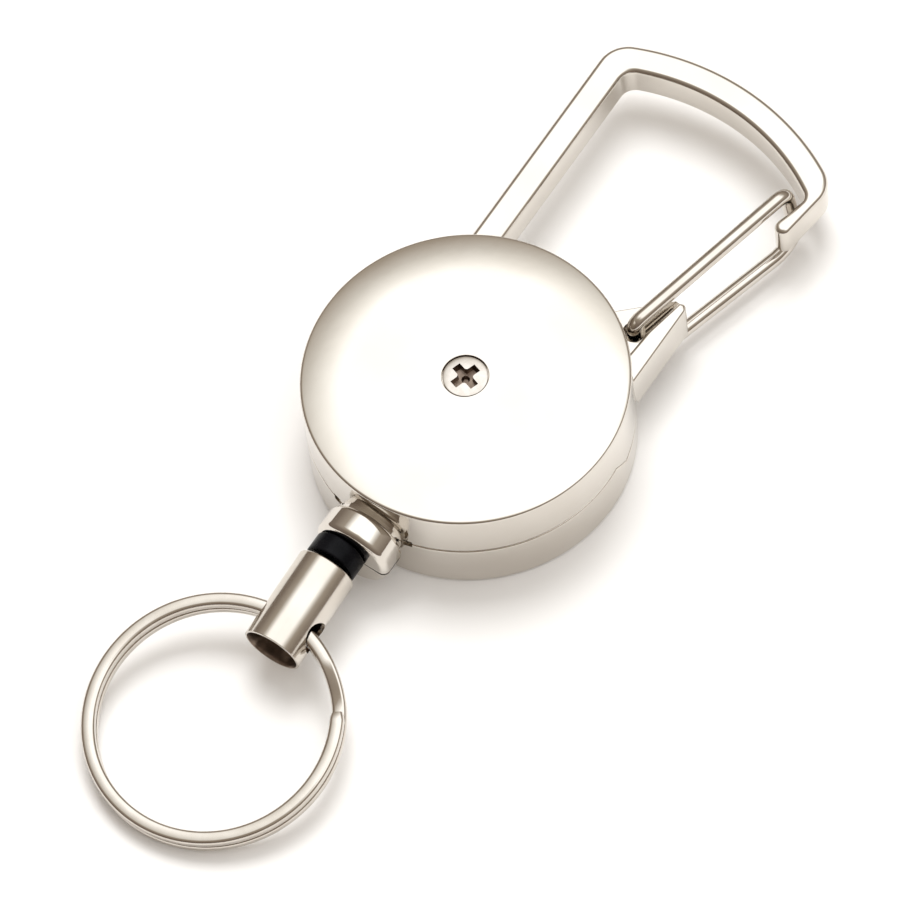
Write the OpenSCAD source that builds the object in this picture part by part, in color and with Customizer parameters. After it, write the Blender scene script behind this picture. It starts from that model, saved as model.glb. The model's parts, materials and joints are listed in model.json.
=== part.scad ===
// Retractable badge reel: a round two-shell metal case with a cast carabiner frame and a wire
// gate, a sprung spool of fine wire cord inside, and a tubular end sleeve that holds a split ring.
// Millimetres. The origin is the centre of the case's back face. +Z goes out through the front
// face, +Y goes to the carabiner and the cord leaves towards -Y.

/* [Case] */
// Diameter of the round case
case_d = 32; // [28:0.5:40]
// Height of the case from back face to front face
case_h = 12; // [10:0.5:15]
// Thickness of the case's side wall
wall = 1.2; // [0.8:0.1:1.6]
// Thickness of the front and back faces
face_t = 1.2; // [0.8:0.1:1.6]
// Width of the broken edge around both faces
edge = 0.25; // [0.1:0.05:0.5]
// Width of the seam between the two shells
seam_gap = 0.08; // [0.04:0.02:0.2]

/* [Cord exit] */
// Sideways place of the cord exit
exit_x = -2; // [-3:0.1:3]
// Diameter of the collar around the cord exit
collar_d = 8.2; // [7:0.1:9.5]
// How far the collar stands out from the case
collar_l = 3.5; // [2.5:0.1:6]
// Diameter of the exit bush in the collar
bush_d = 3.6; // [3:0.1:4.6]

/* [Cord] */
// Diameter of the wire cord
cord_d = 0.7; // [0.5:0.05:1]
// Free length of the cord that pulls out
cord_length = 600; // [400:10:800]

/* [Carabiner] */
// Left outer edge of the frame, from the centre line
arm_x = 9.65; // [8:0.05:12]
// Width of the cast frame
arm_w = 2.95; // [2:0.05:4]
// Thickness of the cast frame
frame_t = 4; // [3:0.1:5]
// Height of the frame's underside over the back face
frame_lift = 4; // [3:0.1:5]
// How far the top of the frame reaches beyond the case
loop_l = 27.3; // [22:0.1:34]
// Diameter of the gate's spring wire
gate_d = 1.5; // [1.2:0.05:1.8]

/* [Cord end] */
// Diameter of the rubber stopper
stopper_d = 5.3; // [4:0.1:6]
// Length of the rubber stopper
stopper_l = 2.1; // [1.6:0.1:4]
// Outer diameter of the end sleeve
sleeve_d = 6.1; // [5.4:0.1:7.5]
// Length of the end sleeve
sleeve_l = 9.9; // [8:0.1:12]
// Wall of the end sleeve
sleeve_wall = 0.4; // [0.3:0.05:0.6]
// Angle by which the end sleeve hangs down
droop = 5; // [0:1:8]

/* [Split ring] */
// Outer diameter of the split ring
ring_d = 25.7; // [21:0.1:31]
// Width of the ring's wire, measured along its radius
ring_w = 1.4; // [1:0.1:1.6]
// Height of each of the ring's two coils
ring_t = 1.15; // [0.8:0.05:1.3]

/* [Hidden] */

// Fits
run_fit = 0.05;
hold_fit = 0.03;
body_gap = 0.1;

// Case
case_r = case_d / 2;
cavity_r = case_r - wall;
exit_z = case_h / 2;
step_y0 = 1.4;
step_y1 = 3.6;
lip_t = 0.6;
lip_h = 0.9;
far = 80;

// Centre post and screw
post_r = 2.2;
screw_r = 1.15;
head_r = 2.35;
head_t = 0.95;
boss_r = 3.4;
boss_t = 0.6;
screw_l = 7;
post_top = case_h - face_t - boss_t;
slot_w = 0.5;
recess_l = 3;
recess_w = 0.7;
recess_t = 0.8;
recess_turn = -19.5;

// Spool
washer_t = 0.4;
spool_r = cavity_r - lip_t - 0.8;
hub_r = 9.2 + (case_r - 16);
hub_wall = 0.8;
flange_t = 0.8;
groove_w = 3;
spool_z0 = face_t + washer_t + run_fit;
spool_z1 = case_h - face_t - 0.5;
web_t = 0.8;
chamber_r = hub_r - hub_wall;
cover_t = 0.5;
cover_z = post_top - 0.3 - cover_t;

// Cord: square-packed turns fill the groove layer by layer
turns_per_layer = floor((groove_w - 0.1) / cord_d);
function wound(layers) = layers <= 0 ? 0
    : wound(layers - 1) + turns_per_layer * 2 * PI * (hub_r + cord_d * (layers - 0.5));
layers = [for (n = [1:9]) if (wound(n - 1) < cord_length) n];
winding_r = hub_r + cord_d * len(layers);
anchor_r = 0.9;
anchor_place = hub_r + anchor_r + 0.3;

// Cord exit and bush, measured outwards along -Y
collar_y = case_r + collar_l;
collar_c = [exit_x + 0.6, exit_z - 0.5];
bush_r = bush_d / 2;
bush_y0 = cavity_r - 0.4;
bush_y1 = collar_y - 0.15;
bush_flange = 0.5;
bush_bore = cord_d / 2 + 0.15;
mouth_r = 0.9 + cord_d / 2;

// Cord end, measured outwards along -Y
stopper_y0 = collar_y + body_gap;
stopper_y1 = stopper_y0 + stopper_l;
sleeve_y0 = stopper_y1 + body_gap + sleeve_d / 2 * sin(droop);
sleeve_end_t = 0.6;
ferrule_r = 1.5;
ferrule_l = 2.6;
ferrule_y0 = sleeve_end_t + 0.3;
hole_place = sleeve_l - 3.15;
hole_y = -(sleeve_y0 + hole_place * cos(droop));
hole_z = exit_z - hole_place * sin(droop);

// Split ring
ring_rc = (ring_d - ring_w) / 2;
coil_gap = 0.06;
ring_h = 2 * ring_t + coil_gap;
ring_yaw = 5.5;
ring_cut = 0.28;
ring_tilt = asin((hole_z - ring_h / 2 - 0.04) / (ring_rc + ring_d / 2));
sweep_out = sleeve_d / 2;
ring_sag = ring_rc - sqrt(pow(ring_rc, 2) - pow(sweep_out, 2));
hole_reach = ring_w / 2 + ring_sag / 2 + sweep_out * tan(ring_yaw);
hole_r = 0.12 + max(norm([hole_reach, ring_h / 2 - ring_cut]),
    norm([hole_reach - ring_cut, ring_h / 2]));
joggle = 26;
joggle_place = 52;

// Carabiner frame: its top is a band between two arcs about one centre
band_out = 26.7;
band_c = [1.9, case_r + loop_l - band_out];
band_in = band_out - arm_w;
frame_z1 = frame_lift + frame_t;
corner_l = 3.3;
corner_r = 3.1;
corner_turn = 58;
pocket_turn = 55;
nose_lean = 8;
nose_l = 4.6;
nose_tip_r = 0.85;
pocket_r = 1.1;

// Gate stub beside the case
stub_z0 = frame_lift - 1;
ledge_z = frame_z1 - 0.8;
stub_place = [case_r * cos(56.5), case_r * sin(56.5)];

// Wire gate: two legs, one over and one under the frame, joined beside the nose
gate_r = gate_d / 2;
gate_z1 = ledge_z + gate_r + 0.65;
gate_z0 = stub_z0 - gate_r - 0.15;
pin_up = stub_place + [0.8, 1.2];
pin_low = stub_place + [1.57, 1.06];
pin_depth = 2.6;
pin_gap = 0.4;

function unit(v) = v / norm(v);
function arc(c, r, a0, a1, n) =
    [for (i = [0:n]) let (a = a0 + (a1 - a0) * i / n) c + r * [cos(a), sin(a)]];

// Points of a path whose corners are rounded by short curves of the given reach
function rounded(p, reach, n) = concat([p[0]],
    [for (i = [1:len(p) - 2], k = [0:n])
        let (a = p[i] - reach * unit(p[i] - p[i - 1]), b = p[i] + reach * unit(p[i + 1] - p[i]),
             s = k / n)
        (1 - s) * (1 - s) * a + 2 * s * (1 - s) * p[i] + s * s * b],
    [p[len(p) - 1]]);

// A round wire swept along a list of points
function tangent(p, i) = unit(p[min(i + 1, len(p) - 1)] - p[max(i - 1, 0)]);
function side(u, t) = unit(u - (u * t) * t);
function sides(p, i, u) = i == len(p) ? []
    : let (v = side(u, tangent(p, i))) concat([v], sides(p, i + 1, v));
module wire(p, r, start, n = 10) {
    u = sides(p, 0, start);
    m = len(p);
    points = [for (i = [0:m - 1], k = [0:n - 1])
        p[i] + r * (cos(360 * k / n) * u[i] + sin(360 * k / n) * cross(tangent(p, i), u[i]))];
    walls = [for (i = [0:m - 2], k = [0:n - 1])
        [i * n + k, i * n + (k + 1) % n, (i + 1) * n + (k + 1) % n, (i + 1) * n + k]];
    caps = [[for (k = [0:n - 1]) n - 1 - k], [for (k = [0:n - 1]) (m - 1) * n + k]];
    polyhedron(points, [for (f = concat(walls, caps)) [for (k = [len(f) - 1:-1:0]) f[k]]]);
}

// Places its children on the cord axis, with their own +Z running outwards along -Y
module on_exit() {
    translate([exit_x, 0, exit_z]) rotate([90, 0, 0]) children();
}

// Places its children on the drooping sleeve axis, starting at the sleeve's inner end
module on_sleeve() {
    translate([exit_x, -sleeve_y0, exit_z]) rotate([90 + droop, 0, 0]) children();
}

// The space over the stepped seam, or under it
module over_seam(shift) {
    rotate([90, 0, 90]) translate([0, 0, -far]) linear_extrude(2 * far)
        polygon([[-far, exit_z + shift], [step_y0, exit_z + shift],
            [step_y1, frame_lift + shift], [far, frame_lift + shift], [far, far], [-far, far]]);
}
module under_seam(shift) {
    rotate([90, 0, 90]) translate([0, 0, -far]) linear_extrude(2 * far)
        polygon([[-far, exit_z - shift], [step_y0, exit_z - shift],
            [step_y1, frame_lift - shift], [far, frame_lift - shift], [far, -far], [-far, -far]]);
}

// Turned outside of the closed case, with its collar
module case_outside() {
    rotate_extrude($fn = 96) polygon([[0, 0], [case_r - edge, 0], [case_r, edge],
        [case_r, case_h - edge], [case_r - edge, case_h], [0, case_h]]);
    translate([collar_c.x, 0, collar_c.y]) rotate([90, 0, 0]) rotate_extrude($fn = 64)
        polygon([[0, cavity_r - 2], [collar_d / 2, cavity_r - 2],
            [collar_d / 2, collar_y - 0.5], [collar_d / 2 - 0.5, collar_y], [0, collar_y]]);
}

// Everything that is hollow inside the closed case
module case_inside() {
    translate([0, 0, face_t]) cylinder(r = cavity_r, h = case_h - 2 * face_t, $fn = 96);
    bush_shape(hold_fit, 0.4);
}

// Outside of the exit bush, grown by a fit
module bush_shape(fit, more) {
    on_exit() {
        translate([0, 0, bush_y0 - more])
            cylinder(r = bush_r + fit, h = bush_y1 - bush_y0 + 2 * more, $fn = 48);
        translate([0, 0, case_r + 0.4 - fit])
            cylinder(r = bush_r + bush_flange + fit, h = bush_flange + 2 * fit, $fn = 48);
    }
}

// Outline of the carabiner frame from the left arm over the top to the nose
module frame_outline() {
    left_c = [-arm_x + corner_l,
        band_c.y + sqrt(pow(band_out - corner_l, 2) - pow(band_c.x + arm_x - corner_l, 2))];
    left_a = atan2(left_c.y - band_c.y, left_c.x - band_c.x);
    in_r = 1.6;
    in_c = [-arm_x + arm_w + in_r,
        band_c.y + sqrt(pow(band_in - in_r, 2) - pow(band_c.x + arm_x - arm_w - in_r, 2))];
    in_a = atan2(in_c.y - band_c.y, in_c.x - band_c.x);
    right_c = band_c + (band_out - corner_r) * [cos(corner_turn), sin(corner_turn)];
    nose_c = right_c + (corner_r - nose_tip_r) * [cos(nose_lean), -sin(nose_lean)]
        - nose_l * [sin(nose_lean), cos(nose_lean)];
    pocket_c = band_c + (band_in - pocket_r) * [cos(pocket_turn), sin(pocket_turn)];
    base_y = case_r - 3.5;
    polygon(concat([[-arm_x, base_y]],
        arc(left_c, corner_l, 180, left_a, 8),
        arc(band_c, band_out, left_a, corner_turn, 24),
        arc(right_c, corner_r, corner_turn, -nose_lean, 8),
        arc(nose_c, nose_tip_r, -nose_lean, -180, 10),
        [nose_c + [-0.35, 1.4]],
        arc(pocket_c, pocket_r, -4, pocket_turn, 6),
        arc(band_c, band_in, pocket_turn, in_a, 24),
        arc(in_c, in_r, in_a, 180, 6),
        [[-arm_x + arm_w, base_y]]));
}

// Cast stub that holds the gate's pins, with a lower ledge under the upper leg
module gate_stub() {
    difference() {
        translate([0, 0, stub_z0]) linear_extrude(frame_z1 - stub_z0) polygon(concat(
            [stub_place + [-3.4, 0.1], stub_place + [2.45, 6.25]],
            arc(stub_place + [3.25, 5.3], 0.8, 90, 0, 6),
            [stub_place + [4.05, -3.4], stub_place + [-2, -3.4]]));
        translate([0, 0, ledge_z]) linear_extrude(2) polygon([stub_place + [-5, -1],
            stub_place + [2.2, -1], stub_place + [2.2, 1.7], stub_place + [3.1, 5.9],
            stub_place + [3.1, 8], stub_place + [-5, 8]]);
        translate([0, 0, -1]) cylinder(r = case_r + seam_gap, h = frame_lift + 1, $fn = 96);
    }
}

// The two blind holes in the stub that the gate's pins turn in
module gate_holes() {
    translate([pin_up.x, pin_up.y, gate_z1 - pin_depth - 0.3])
        cylinder(r = gate_r + pin_gap, h = 6, $fn = 32);
    translate([pin_low.x, pin_low.y, stub_z0 - 1])
        cylinder(r = gate_r + pin_gap, h = gate_z0 + pin_depth + 0.3 - stub_z0 + 1, $fn = 32);
}

module front_case() {
    color("silver") difference() {
        union() {
            intersection() {
                case_outside();
                over_seam(seam_gap / 2);
            }
            translate([0, 0, frame_lift + seam_gap / 2])
                linear_extrude(frame_t - seam_gap / 2) frame_outline();
            gate_stub();
        }
        difference() {
            case_inside();
            translate([0, 0, post_top]) cylinder(r = boss_r, h = 2, $fn = 48);
        }
        translate([0, 0, post_top - 1]) cylinder(r = screw_r + 0.15, h = 4, $fn = 32);
        translate([0, 0, case_h - head_t - 0.05]) cylinder(r = head_r + 0.08, h = 2, $fn = 48);
        gate_holes();
    }
}

module rear_case() {
    color("silver") difference() {
        union() {
            difference() {
                intersection() {
                    case_outside();
                    under_seam(seam_gap / 2);
                }
                case_inside();
            }
            locating_lip();
            translate([0, 0, face_t / 2])
                cylinder(r = post_r, h = post_top - face_t / 2, $fn = 48);
        }
        translate([0, 0, post_top - screw_l]) cylinder(r = screw_r + 0.02, h = screw_l + 1, $fn = 32);
        translate([0, -slot_w / 2, spool_z0 + web_t]) cube([post_r + 1, slot_w, case_h]);
        bush_shape(hold_fit, 0.4);
    }
}

// Lip on the rear shell that centres the front shell, left out around the cord exit
module locating_lip() {
    lip_r = cavity_r - run_fit;
    difference() {
        union() {
            translate([0, 0, exit_z - lip_h - 0.5])
                cylinder(r = cavity_r + 0.1, h = lip_h + 0.5 - seam_gap / 2, $fn = 96);
            translate([0, 0, exit_z - 0.5]) cylinder(r = lip_r, h = lip_h + 0.5, $fn = 96);
        }
        translate([0, 0, -1]) cylinder(r = cavity_r - lip_t, h = case_h + 2, $fn = 96);
        translate([-far, -0.5, -1]) cube([2 * far, far, case_h + 2]);
        translate([collar_c.x - collar_d / 2, -far, -1]) cube([collar_d, far, case_h + 2]);
    }
}

module case_screw() {
    shank_z0 = post_top - screw_l + 0.3;
    color("lightgray") difference() {
        union() {
            translate([0, 0, case_h - head_t]) cylinder(r = head_r, h = head_t - 0.2, $fn = 48);
            translate([0, 0, case_h - 0.2]) cylinder(r1 = head_r, r2 = head_r - 0.3, h = 0.2, $fn = 48);
            translate([0, 0, shank_z0]) cylinder(r = screw_r, h = case_h - head_t - shank_z0, $fn = 32);
        }
        for (turn = [0, 90])
            rotate([0, 0, turn + recess_turn])
                translate([-recess_l / 2, -recess_w / 2, case_h - recess_t])
                cube([recess_l, recess_w, 2]);
    }
}

module exit_bush() {
    color("white") difference() {
        bush_shape(0, 0);
        on_exit() {
            translate([0, 0, bush_y0 - 1]) cylinder(r = bush_bore, h = bush_y1, $fn = 32);
            translate([0, 0, bush_y0 - 0.01])
                cylinder(r1 = mouth_r, r2 = bush_bore, h = 1.4, $fn = 32);
        }
    }
}

module spool_washer() {
    color("ivory") translate([0, 0, face_t]) difference() {
        cylinder(r = post_r + 2.6, h = washer_t, $fn = 48);
        translate([0, 0, -1]) cylinder(r = post_r + run_fit, h = washer_t + 2, $fn = 48);
    }
}

module spool() {
    low = exit_z - groove_w / 2;
    high = exit_z + groove_w / 2;
    color("dimgray") difference() {
        rotate_extrude($fn = 96) polygon([[post_r + run_fit, spool_z0], [hub_r, spool_z0],
            [hub_r, low - flange_t], [spool_r, low - flange_t], [spool_r, low], [hub_r, low],
            [hub_r, high], [spool_r, high], [spool_r, high + flange_t], [hub_r, high + flange_t],
            [hub_r, spool_z1], [chamber_r, spool_z1], [chamber_r, spool_z0 + web_t],
            [post_r + run_fit, spool_z0 + web_t]]);
        rotate([0, 0, 20]) translate([anchor_place, 0, high - 1])
            cylinder(r = cord_d / 2 + 0.15, h = 4, $fn = 24);
    }
}

// Flat spiral strip, packed against the chamber's wall, with its inner tab in the post's slot
module power_spring() {
    strip_t = 0.2;
    pitch = 0.38;
    packed = 7;
    inner_r = post_r + 0.25;
    outer_r = chamber_r - 0.2;
    turn_in = outer_r - pitch * packed;
    steps = 18;
    line = concat(
        [for (i = [0:packed * steps]) [outer_r - pitch * i / steps, 360 * i / steps]],
        [for (i = [1:steps]) [turn_in - (turn_in - inner_r) * i / steps, 360 * i / steps]]);
    color("steelblue") translate([0, 0, spool_z0 + web_t + 0.2])
        linear_extrude(cover_z - spool_z0 - web_t - 0.5) union() {
        polygon(concat([for (q = line) q[0] * [cos(q[1]), sin(q[1])]],
            [for (i = [len(line) - 1:-1:0])
                (line[i][0] - strip_t) * [cos(line[i][1]), sin(line[i][1])]]));
        translate([screw_r + 0.2, -strip_t / 2]) square([inner_r - screw_r - 0.2, strip_t]);
    }
}

module spring_cover() {
    color("lightslategray") translate([0, 0, cover_z]) difference() {
        cylinder(r = chamber_r - hold_fit, h = cover_t, $fn = 64);
        translate([0, 0, -1]) cylinder(r = post_r + 0.3, h = cover_t + 2, $fn = 48);
    }
}

module cord_winding() {
    width = turns_per_layer * cord_d;
    color("slategray") translate([0, 0, exit_z - width / 2]) difference() {
        cylinder(r = winding_r, h = width, $fn = 96);
        translate([0, 0, -1]) cylinder(r = hub_r, h = width + 2, $fn = 96);
    }
}

module cord_anchor() {
    color("peru") rotate([0, 0, 20])
        translate([anchor_place, 0, exit_z + groove_w / 2 + flange_t])
        cylinder(r = anchor_r, h = spool_z1 - exit_z - groove_w / 2 - flange_t - 0.2, $fn = 24);
}

// The cord from the winding's tangent to the middle of the stopper
module cord_lead() {
    reach = winding_r + cord_d / 2 + 0.05;
    mouth = [exit_x - 0.45, -bush_y0 - 0.2];
    turn = atan2(mouth.y, mouth.x) - acos(reach / norm(mouth));
    off = reach * [cos(turn), sin(turn)];
    route = [[off.x, off.y, exit_z], [mouth.x, mouth.y, exit_z],
        [exit_x, -bush_y0 - 1.6, exit_z], [exit_x, -(stopper_y0 + stopper_y1) / 2, exit_z]];
    color("slategray") wire(rounded(route, 0.6, 4), cord_d / 2, [0, 0, 1], 8);
}

module stopper() {
    color("black") on_exit() difference() {
        rotate_extrude($fn = 64) polygon([[cord_d / 2 + run_fit, stopper_y0],
            [stopper_d / 2 - 0.3, stopper_y0], [stopper_d / 2, stopper_y0 + 0.3],
            [stopper_d / 2, stopper_y1 - 0.3], [stopper_d / 2 - 0.3, stopper_y1],
            [cord_d / 2 + run_fit, stopper_y1]]);
    }
}

// The cord from the stopper to the ferrule in the sleeve
module cord_tail() {
    end = ferrule_y0 + ferrule_l;
    route = [[exit_x, -(stopper_y0 + stopper_y1) / 2 - 0.01, exit_z], [exit_x, -sleeve_y0, exit_z],
        [exit_x, -sleeve_y0 - end * cos(droop), exit_z - end * sin(droop)]];
    color("slategray") wire(rounded(route, 0.1, 2), cord_d / 2 - 0.01, [0, 0, 1], 8);
}

module cord_ferrule() {
    color("peru") on_sleeve() translate([0, 0, ferrule_y0]) difference() {
        cylinder(r = ferrule_r, h = ferrule_l, $fn = 48);
        translate([0, 0, -1]) cylinder(r = cord_d / 2, h = ferrule_l + 2, $fn = 24);
    }
}

module end_sleeve() {
    color("silver") on_sleeve() difference() {
        cylinder(r = sleeve_d / 2, h = sleeve_l, $fn = 64);
        translate([0, 0, sleeve_end_t])
            cylinder(r = sleeve_d / 2 - sleeve_wall, h = sleeve_l, $fn = 64);
        translate([0, 0, -1]) cylinder(r = cord_d / 2 + 0.2, h = 4, $fn = 32);
        translate([-sleeve_d, 0, hole_place]) rotate([0, 90, 0])
            cylinder(r = hole_r, h = 2 * sleeve_d, $fn = 48);
    }
}

// Two flat coils of one wire, which crosses from the lower to the upper coil at the joggle
module split_ring() {
    step = 6;
    last = 720 - joggle - 2;
    w = ring_w / 2;
    t = ring_t / 2;
    c = ring_cut;
    profile = [[w, t - c], [w - c, t], [c - w, t], [-w, t - c],
        [-w, c - t], [c - w, -t], [w - c, -t], [w, c - t]];
    level = (ring_t + coil_gap) / 2;
    angles = concat([for (a = [0:step:last - 1]) a], [last]);
    function rise(a) = a < 360 - joggle ? -level : a > 360 ? level
        : level * sin(90 * (2 * (a - 360 + joggle) / joggle - 1));
    n = len(profile);
    m = len(angles);
    points = [for (a = angles, q = profile)
        [(ring_rc + q.x) * cos(a), (ring_rc + q.x) * sin(a), rise(a) + q.y]];
    walls = [for (i = [0:m - 2], k = [0:n - 1])
        [i * n + k, i * n + (k + 1) % n, (i + 1) * n + (k + 1) % n, (i + 1) * n + k]];
    caps = [[for (k = [0:n - 1]) n - 1 - k], [for (k = [0:n - 1]) (m - 1) * n + k]];
    color("silver") translate([exit_x, hole_y, hole_z]) rotate([ring_tilt, 0, -ring_yaw])
        translate([0, -ring_rc + ring_sag / 2, 0]) rotate([0, 0, joggle_place + joggle / 2])
        polyhedron(points, [for (f = concat(walls, caps)) [for (k = [len(f) - 1:-1:0]) f[k]]]);
}

// One bent wire: upper pin, upper leg, link inside the nose, lower leg, lower pin
module gate_wire() {
    lift = [for (z = [gate_z1 - pin_depth, gate_z1, gate_z0, gate_z0 + pin_depth]) z];
    tip = [band_c.x + 13.3 - gate_r, band_c.y + 18.1];
    route = [[pin_up.x, pin_up.y, lift[0]], [pin_up.x, pin_up.y, lift[1]],
        [tip.x, tip.y, lift[1]], [tip.x + 0.9, tip.y, lift[2]],
        [tip.x + 1.05, tip.y - 2.9, lift[2]],
        [pin_low.x, pin_low.y, lift[2]], [pin_low.x, pin_low.y, lift[3]]];
    color("gainsboro") wire(rounded(route, 1.1, 4), gate_r, [1, 0, 0], 12);
}

front_case();
rear_case();
case_screw();
exit_bush();
spool_washer();
spool();
power_spring();
spring_cover();
cord_winding();
cord_anchor();
cord_lead();
stopper();
cord_tail();
cord_ferrule();
end_sleeve();
split_ring();
gate_wire();
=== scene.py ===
"""Looks of a retractable badge reel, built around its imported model.

The case, the carabiner frame, the gate, the end sleeve, the ring and the reel inside are classes.
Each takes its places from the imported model, builds its meshes and dresses them with a finish.
Lengths are metres; sizes written in millimetres are multiplied by MM.
"""

import json
import logging
import math
from dataclasses import dataclass, field
from enum import Enum
from typing import Callable, Iterable, Sequence

import bmesh
import bpy
from mathutils import Matrix, Vector


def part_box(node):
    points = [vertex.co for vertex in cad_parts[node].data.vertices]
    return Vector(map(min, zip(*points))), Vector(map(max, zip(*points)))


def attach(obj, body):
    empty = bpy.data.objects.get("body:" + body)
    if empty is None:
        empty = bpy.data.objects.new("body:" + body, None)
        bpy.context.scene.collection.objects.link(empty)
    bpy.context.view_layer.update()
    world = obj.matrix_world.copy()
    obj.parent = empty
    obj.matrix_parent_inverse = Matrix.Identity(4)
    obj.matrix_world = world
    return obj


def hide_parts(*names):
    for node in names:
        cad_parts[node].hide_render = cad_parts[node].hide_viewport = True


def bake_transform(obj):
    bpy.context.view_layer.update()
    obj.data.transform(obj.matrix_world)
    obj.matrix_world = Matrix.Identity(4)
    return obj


MM = 0.001
SHARP = 1e-6  # radius of an edge that is left sharp, in metres
LOG = logging.getLogger("badge_reel")
Point2 = tuple[float, float]
Profile = list[Point2]

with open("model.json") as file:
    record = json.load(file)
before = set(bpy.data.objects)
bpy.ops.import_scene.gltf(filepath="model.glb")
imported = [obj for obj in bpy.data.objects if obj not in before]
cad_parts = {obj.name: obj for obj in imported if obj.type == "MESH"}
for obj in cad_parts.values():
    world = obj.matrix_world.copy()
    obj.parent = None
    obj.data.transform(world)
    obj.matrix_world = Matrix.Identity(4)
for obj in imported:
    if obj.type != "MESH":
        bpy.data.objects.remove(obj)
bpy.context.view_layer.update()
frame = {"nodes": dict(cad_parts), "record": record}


# ---------------------------------------------------------------- meshes


class Side(Enum):
    """The two halves of anything that the seam splits."""

    FRONT = 1
    REAR = -1


def joint(name: str) -> dict:
    """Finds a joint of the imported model.

    Args:
        name: the joint's name.

    Returns:
        The joint's entry.
    """
    return next(item for item in frame["record"]["behaviour"]["joints"] if item["name"] == name)


def arc(centre: Point2, radius: float, start: float, end: float, steps: int) -> list[Point2]:
    """Points on an arc.

    Args:
        centre: the arc's centre.
        radius: its radius.
        start: first angle, in degrees.
        end: last angle, in degrees.
        steps: how many steps to take.

    Returns:
        The points, both ends included.
    """
    angles = [math.radians(start + (end - start) * i / steps) for i in range(steps + 1)]
    return [(centre[0] + radius * math.cos(a), centre[1] + radius * math.sin(a)) for a in angles]


def new_object(name: str, mesh: bpy.types.Mesh) -> bpy.types.Object:
    """Links a mesh into the scene as an object at the origin."""
    obj = bpy.data.objects.new(name, mesh)
    bpy.context.scene.collection.objects.link(obj)
    return obj


def from_bmesh(name: str, bm: bmesh.types.BMesh) -> bpy.types.Object:
    """Turns a bmesh into an object with merged points and outward faces.

    Args:
        name: name of the object.
        bm: the bmesh, which is freed.

    Returns:
        The object.
    """
    bmesh.ops.remove_doubles(bm, verts=bm.verts, dist=1e-7)
    bmesh.ops.recalc_face_normals(bm, faces=bm.faces)
    mesh = bpy.data.meshes.new(name)
    bm.to_mesh(mesh)
    bm.free()
    return new_object(name, mesh)


def bridge(bm: bmesh.types.BMesh, rings: Sequence[Sequence[bmesh.types.BMVert]]) -> None:
    """Joins rings of points into one skin, capped at both ends.

    Args:
        bm: the bmesh that holds the points.
        rings: the rings, each with the same number of points.
    """
    count = len(rings[0])
    for under, over in zip(rings, rings[1:]):
        for i in range(count):
            j = (i + 1) % count
            bm.faces.new([under[i], under[j], over[j], over[i]])
    bm.faces.new(rings[0][::-1])
    bm.faces.new(rings[-1])


def lathe(name: str, section: Callable[[float], Profile], place: Matrix,
          angles: Sequence[float], closed: bool = True) -> bpy.types.Object:
    """Turns a closed section round an axis.

    Args:
        name: name of the object.
        section: gives the section's (radius, height) points at an angle in radians.
        place: takes the turning axis, +Z, to its place.
        angles: the angles, in radians, in rising order.
        closed: whether the last angle joins the first; otherwise both ends are capped.

    Returns:
        The turned object.
    """
    bm = bmesh.new()
    columns = []
    profile = section(angles[0])
    for angle in angles:
        points = [Vector((r * math.cos(angle), r * math.sin(angle), h)) for r, h in section(angle)]
        columns.append([bm.verts.new(place @ p) for p in points])
    count = len(columns[0])
    pairs = list(zip(columns, columns[1:] + columns[:1])) if closed else list(zip(columns, columns[1:]))
    for left, right in pairs:
        for i in range(count):
            j = (i + 1) % count
            if max(profile[i][0], profile[j][0]) > 0:
                bm.faces.new([left[i], right[i], right[j], left[j]])
    if not closed:
        bm.faces.new(columns[0])
        bm.faces.new(columns[-1])
    bmesh.ops.remove_doubles(bm, verts=bm.verts, dist=1e-7)
    bmesh.ops.dissolve_degenerate(bm, edges=bm.edges, dist=1e-8)
    return from_bmesh(name, bm)


def full_turn(steps: int, extra: Iterable[float] = ()) -> list[float]:
    """Angles of a whole turn in even steps, with some more angles between them, in radians."""
    return sorted({round(math.tau * i / steps, 9) for i in range(steps)} | {round(a, 9) for a in extra})


def inset(outline: Sequence[Point2], distance: float) -> list[Point2]:
    """Moves each point of an anticlockwise outline inwards.

    Args:
        outline: the outline's points.
        distance: how far to move them.

    Returns:
        The moved points.
    """
    moved = []
    for i, here in enumerate(outline):
        before, after = Vector(outline[i - 1]), Vector(outline[(i + 1) % len(outline)])
        into, out = (Vector(here) - before).normalized(), (after - Vector(here)).normalized()
        normal_in, normal_out = Vector((-into.y, into.x)), Vector((-out.y, out.x))
        mitre = (normal_in + normal_out).normalized()
        reach = distance / max(0.35, mitre.dot(normal_in))
        moved.append((here[0] + mitre.x * reach, here[1] + mitre.y * reach))
    return moved


def anticlockwise(outline: Sequence[Point2]) -> list[Point2]:
    """The outline in anticlockwise order."""
    area = sum(a[0] * b[1] - b[0] * a[1] for a, b in zip(outline, list(outline[1:]) + [outline[0]]))
    return list(outline) if area > 0 else list(outline)[::-1]


def prism(name: str, outline: Sequence[Point2], low: float, high: float,
          low_round: float, high_round: float, steps: int = 5) -> bpy.types.Object:
    """Extrudes an outline along Z and rounds its top and bottom edges.

    Args:
        name: name of the object.
        outline: the outline's points.
        low: height of the bottom.
        high: height of the top.
        low_round: radius of the bottom edge.
        high_round: radius of the top edge.
        steps: segments in each rounded edge.

    Returns:
        The extruded object.
    """
    base = anticlockwise(outline)
    turns = [0.5 * math.pi * i / steps for i in range(steps + 1)]
    levels = [(low_round * (1 - math.sin(t)), low + low_round * (1 - math.cos(t))) for t in turns]
    levels += [(high_round * (1 - math.cos(t)), high - high_round * (1 - math.sin(t))) for t in turns]
    bm = bmesh.new()
    bridge(bm, [[bm.verts.new((x, y, z)) for x, y in inset(base, depth)] for depth, z in levels])
    return from_bmesh(name, bm)


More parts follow.
